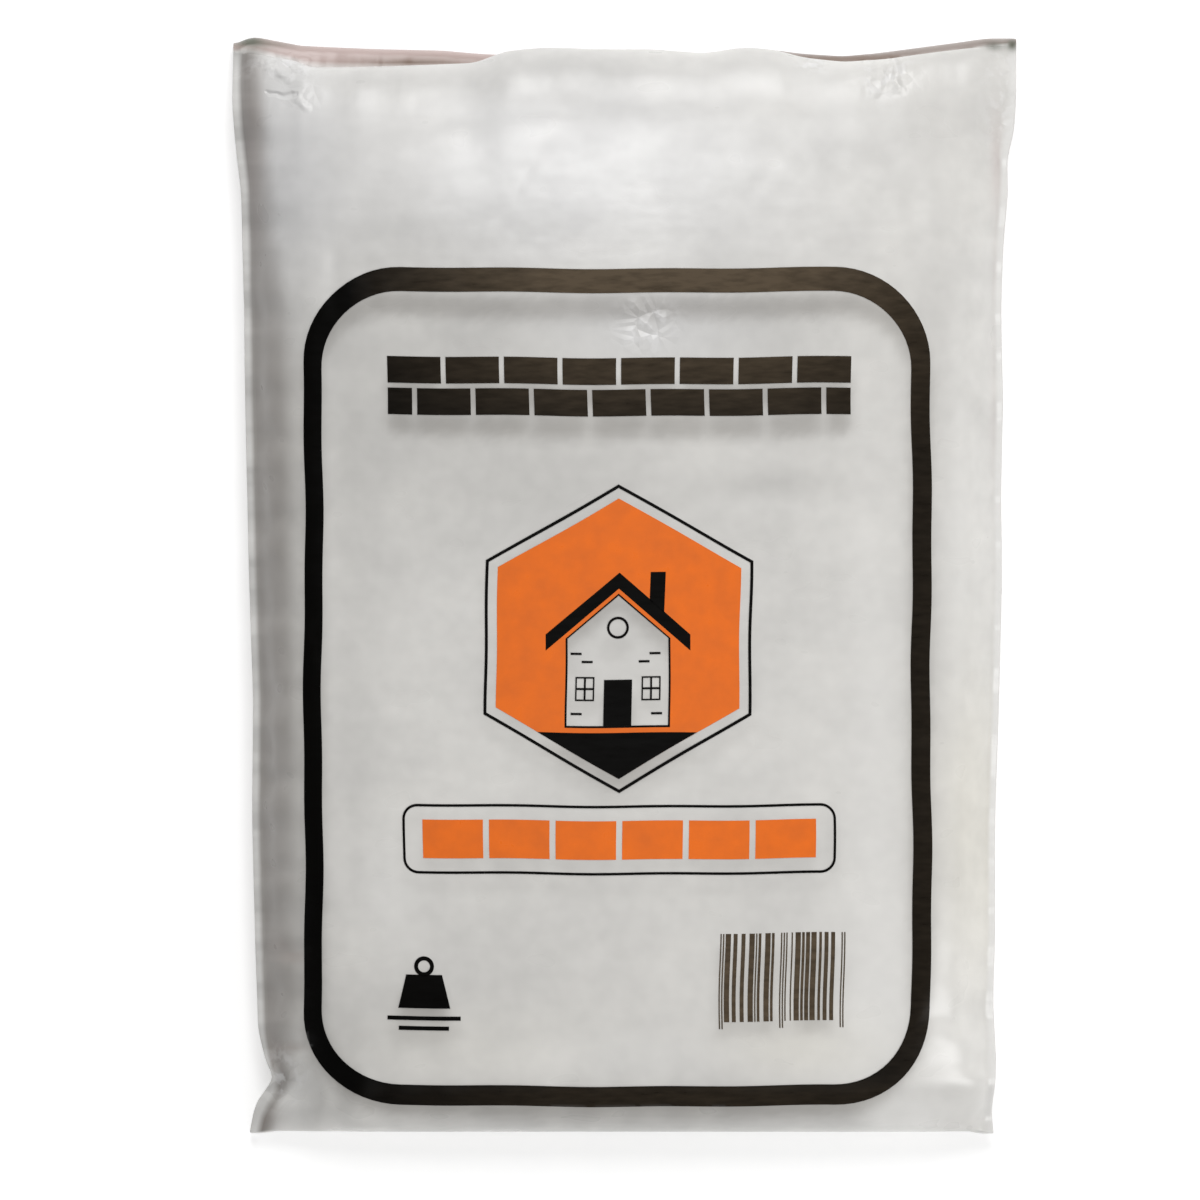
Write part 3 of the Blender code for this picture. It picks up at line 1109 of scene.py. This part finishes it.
def badge_shapes():
    """Six-sided badge: its orange ground with a bare house wall, and all of its black parts."""
    wall = [(-0.0105, -0.0178), (0.0105, -0.0178), (0.0105, 0.0), (0.0, 0.0090), (-0.0105, 0.0)]
    inner_wall = [(-0.0101, -0.0174), (0.0101, -0.0174), (0.0101, 0.0), (0.0, 0.0086), (-0.0101, 0.0)]
    ground = [[regular(6, BADGE, 0.0280), shifted(wall, BADGE)]]
    tip = (0.0280 - 0.0188) * math.tan(math.radians(60))
    under_roof = [(-0.0145, -0.0025), (0.0, 0.0100), (0.0145, -0.0025)]
    over_roof = [(0.0145, 0.0007), (0.0, 0.0132), (-0.0145, 0.0007)]
    black = [
        under_roof + over_roof,
        [(0.0062, 0.0076), (0.0092, 0.0050), (0.0092, 0.0132), (0.0062, 0.0132)],
        [(-tip, -0.0188), (0.0, -0.0280), (tip, -0.0188)],
        box(-0.0028, 0.0028, -0.01738, -0.0082),
    ]
    shapes = [[shifted(outline, BADGE)] for outline in black]
    shapes.append(border(shifted(wall, BADGE), shifted(inner_wall, BADGE)))
    for side in (-1, 1):
        middle = side * 0.0066
        pane = box(middle - 0.0019, middle + 0.0019, -0.0124, -0.0076)
        glass = []
        for column in (-1, 0):
            for row in (-1, 0):
                left = middle + 0.0002 + column * 0.0018
                low = -0.0100 + 0.0002 + row * 0.0023
                glass.append(shifted(box(left, left + 0.0014, low, low + 0.0019), BADGE))
        shapes.append([shifted(pane, BADGE), *glass])
    attic = [regular(24, (0.0, 0.0022), 0.0022), regular(24, (0.0, 0.0022), 0.0017)]
    shapes.append([shifted(outline, BADGE) for outline in attic])
    for x, y in BRICK_MARKS:
        shapes.append([shifted(box(x - 0.0011, x + 0.0011, y - 0.00022, y + 0.00022), BADGE)])
    shapes.append(border(regular(6, BADGE, 0.0308), regular(6, BADGE, 0.0301)))
    return ground, shapes


def rail_shapes():
    """A row of six bricks in a thin round-cornered border."""
    left, right, low, high = RAIL
    edge = 0.0005
    thin = border(
        rounded_box(left, right, low, high, 0.0030, 8),
        rounded_box(left + edge, right - edge, low + edge, high - edge, 0.0025, 8),
    )
    pitch = (right - left - 0.0068) / 6
    bricks = []
    for k in range(6):
        start = left + 0.0040 + k * pitch
        bricks.append([box(start, start + pitch - 0.0012, low + 0.0031, high - 0.0031)])
    return bricks, [thin]


def weight_shapes():
    """A plain weight with a ring on it, over two short rules."""
    x, high = WEIGHT
    ring = border(regular(24, (x, high - 0.0020), 0.0020), regular(24, (x, high - 0.0020), 0.0012))
    foot, shoulder = high - 0.0104, high - 0.0037
    body = [(x - 0.0052, foot), (x + 0.0052, foot), (x + 0.0036, shoulder), (x - 0.0036, shoulder)]
    shapes = [ring, [body]]
    for half, drop in ((0.0073, 0.0128), (0.0050, 0.0148)):
        shapes.append([box(x - half, x + half, high - drop, high - drop + 0.0008)])
    return shapes


def bar_shapes():
    """A field of upright bars of chance widths, with long guard bars at both ends and midway."""
    left, right, low, high = BARS
    chance = np.random.default_rng(7)
    bars = []
    for guard in (left, (left + right) / 2 - 1.5 * MODULE, right - 3 * MODULE):
        for k in (0, 2):
            bars.append([box(guard + k * MODULE, guard + (k + 1) * MODULE, low - 0.0014, high)])
    for start in (left + 4 * MODULE, (left + right) / 2 + 2.5 * MODULE):
        place = start
        end = start + (right - left) / 2 - 6.5 * MODULE
        while place < end - MODULE:
            width = MODULE * chance.integers(1, 5)
            bars.append([box(place, min(end, place + width), low, high)])
            place += width + MODULE * chance.integers(1, 4)
    return bars


def all_prints():
    """Every printed piece: its name, its ink and its shapes."""
    frame_line = border(
        rounded_box(FRAME_LEFT, FRAME_RIGHT, FRAME_LOW, FRAME_HIGH, 0.0190),
        rounded_box(FRAME_LEFT + 0.0036, FRAME_RIGHT - 0.0038, FRAME_LOW + 0.0041, FRAME_HIGH - 0.0048, 0.0155),
    )
    badge_ground, badge_lines = badge_shapes()
    rail_bricks, rail_line = rail_shapes()
    return (
        ("printed_frame", "black", [frame_line]),
        ("printed_courses", "black", brick_courses()),
        ("printed_badge", "orange", badge_ground),
        ("printed_house", "black", badge_lines),
        ("printed_bricks", "orange", rail_bricks),
        ("printed_rail", "black", rail_line),
        ("printed_weight", "black", weight_shapes()),
        ("printed_bars", "thin black", bar_shapes()),
    )


def make_print(prints, tree):
    inks = {
        "black": (black_material("black_ink", 0.0), "black_print", INK_RISE + INK_STEP),
        "thin black": (black_material("thin_black_ink", 0.85), "black_print", INK_RISE),
        "orange": (orange_material(), "orange_print", INK_RISE),
    }
    for name, ink, shapes in prints:
        lay_ink(name, shapes, *inks[ink], tree)


def add_light(name, place, size, watts):
    light = bpy.data.lights.new(name, "AREA")
    light.energy = watts
    light.size = size
    obj = bpy.data.objects.new(name, light)
    obj.location = place
    obj.rotation_mode = "QUATERNION"
    obj.rotation_quaternion = Vector(place).to_track_quat("Z", "Y")
    obj.visible_camera = False
    bpy.context.scene.collection.objects.link(obj)
    return obj


def add_stage():
    scene = bpy.context.scene
    bpy.ops.mesh.primitive_plane_add(size=6.0, location=(0.0, 0.0, 0.0))
    floor = bpy.context.object
    floor.name = "floor"
    material = bpy.data.materials.new("pale_floor")
    material.use_nodes = True
    shader = material.node_tree.nodes["Principled BSDF"]
    shader.inputs["Base Color"].default_value = (0.75, 0.75, 0.75, 1.0)
    shader.inputs["Roughness"].default_value = 0.9
    shader.inputs["Emission Color"].default_value = (1.0, 1.0, 1.0, 1.0)
    shader.inputs["Emission Strength"].default_value = 0.45
    floor.data.materials.append(material)
    add_light("high_softbox", (0.0, 0.53, 1.19), 0.50, 6.6)
    add_light("low_softbox", (0.0, 1.13, 0.65), 0.60, 6.4)
    add_light("side_softbox", (0.97, -0.56, 0.65), 0.60, 6.8)
    add_light("fill_softbox", (0.0, -0.84, 1.00), 0.60, 2.0)
    world = bpy.data.worlds.new("studio")
    world.use_nodes = True
    world.node_tree.nodes["Background"].inputs["Color"].default_value = (1.0, 1.0, 1.0, 1.0)
    world.node_tree.nodes["Background"].inputs["Strength"].default_value = 0.17
    scene.world = world
    scene.view_settings.view_transform = "Standard"


def add_camera():
    pixel = 0.0002
    picture = 1200 * pixel
    distance = 4.0
    camera = bpy.data.cameras.new("camera")
    camera.lens = camera.sensor_width * distance / picture
    camera.clip_end = 20.0
    obj = bpy.data.objects.new("camera", camera)
    obj.location = ((600 - 624.5) * pixel, (584.5 - 600) * pixel, distance + 0.02)
    bpy.context.scene.collection.objects.link(obj)
    bpy.context.scene.camera = obj


add_camera()
prints = all_prints()
pouch_film = make_film(prints)
make_print(prints, film_surface(pouch_film))
add_stage()
